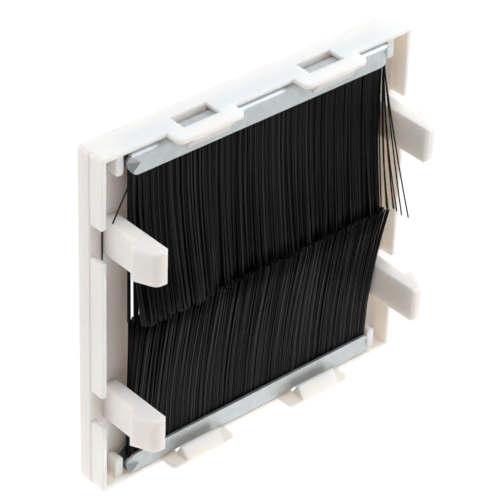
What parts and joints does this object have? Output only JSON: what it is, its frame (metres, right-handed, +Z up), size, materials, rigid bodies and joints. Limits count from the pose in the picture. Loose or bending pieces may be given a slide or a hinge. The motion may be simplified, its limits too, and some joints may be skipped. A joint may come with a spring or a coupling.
{
  "type": "brush cable grommet",
  "caption": "Square snap-in wiring module with clip arms, its aperture closed by facing strip brushes so that cables pass through while dust and draughts stay out.",
  "frame": {"origin": "centre of the module's box, at the height of its bottom edge", "axes": "+X across the module, +Y from the front face to the clip arms at the rear, +Z up"},
  "size_m": [0.05, 0.0126, 0.05],
  "materials": {
    "white_plastic": "smooth moulded, low gloss",
    "galvanised_steel": "satin zinc coat",
    "steel_wire": "drawn, dull",
    "black_filament": "fine extruded filaments, satin"
  },
  "bodies": {
    "root": {"frame": "white_plastic", "lower_channel": "galvanised_steel", "upper_channel": "galvanised_steel", "lower_core_wire": "steel_wire", "upper_core_wire": "steel_wire", "lower_bristles": "black_filament", "upper_bristles": "black_filament"}
  },
  "joints": []
}
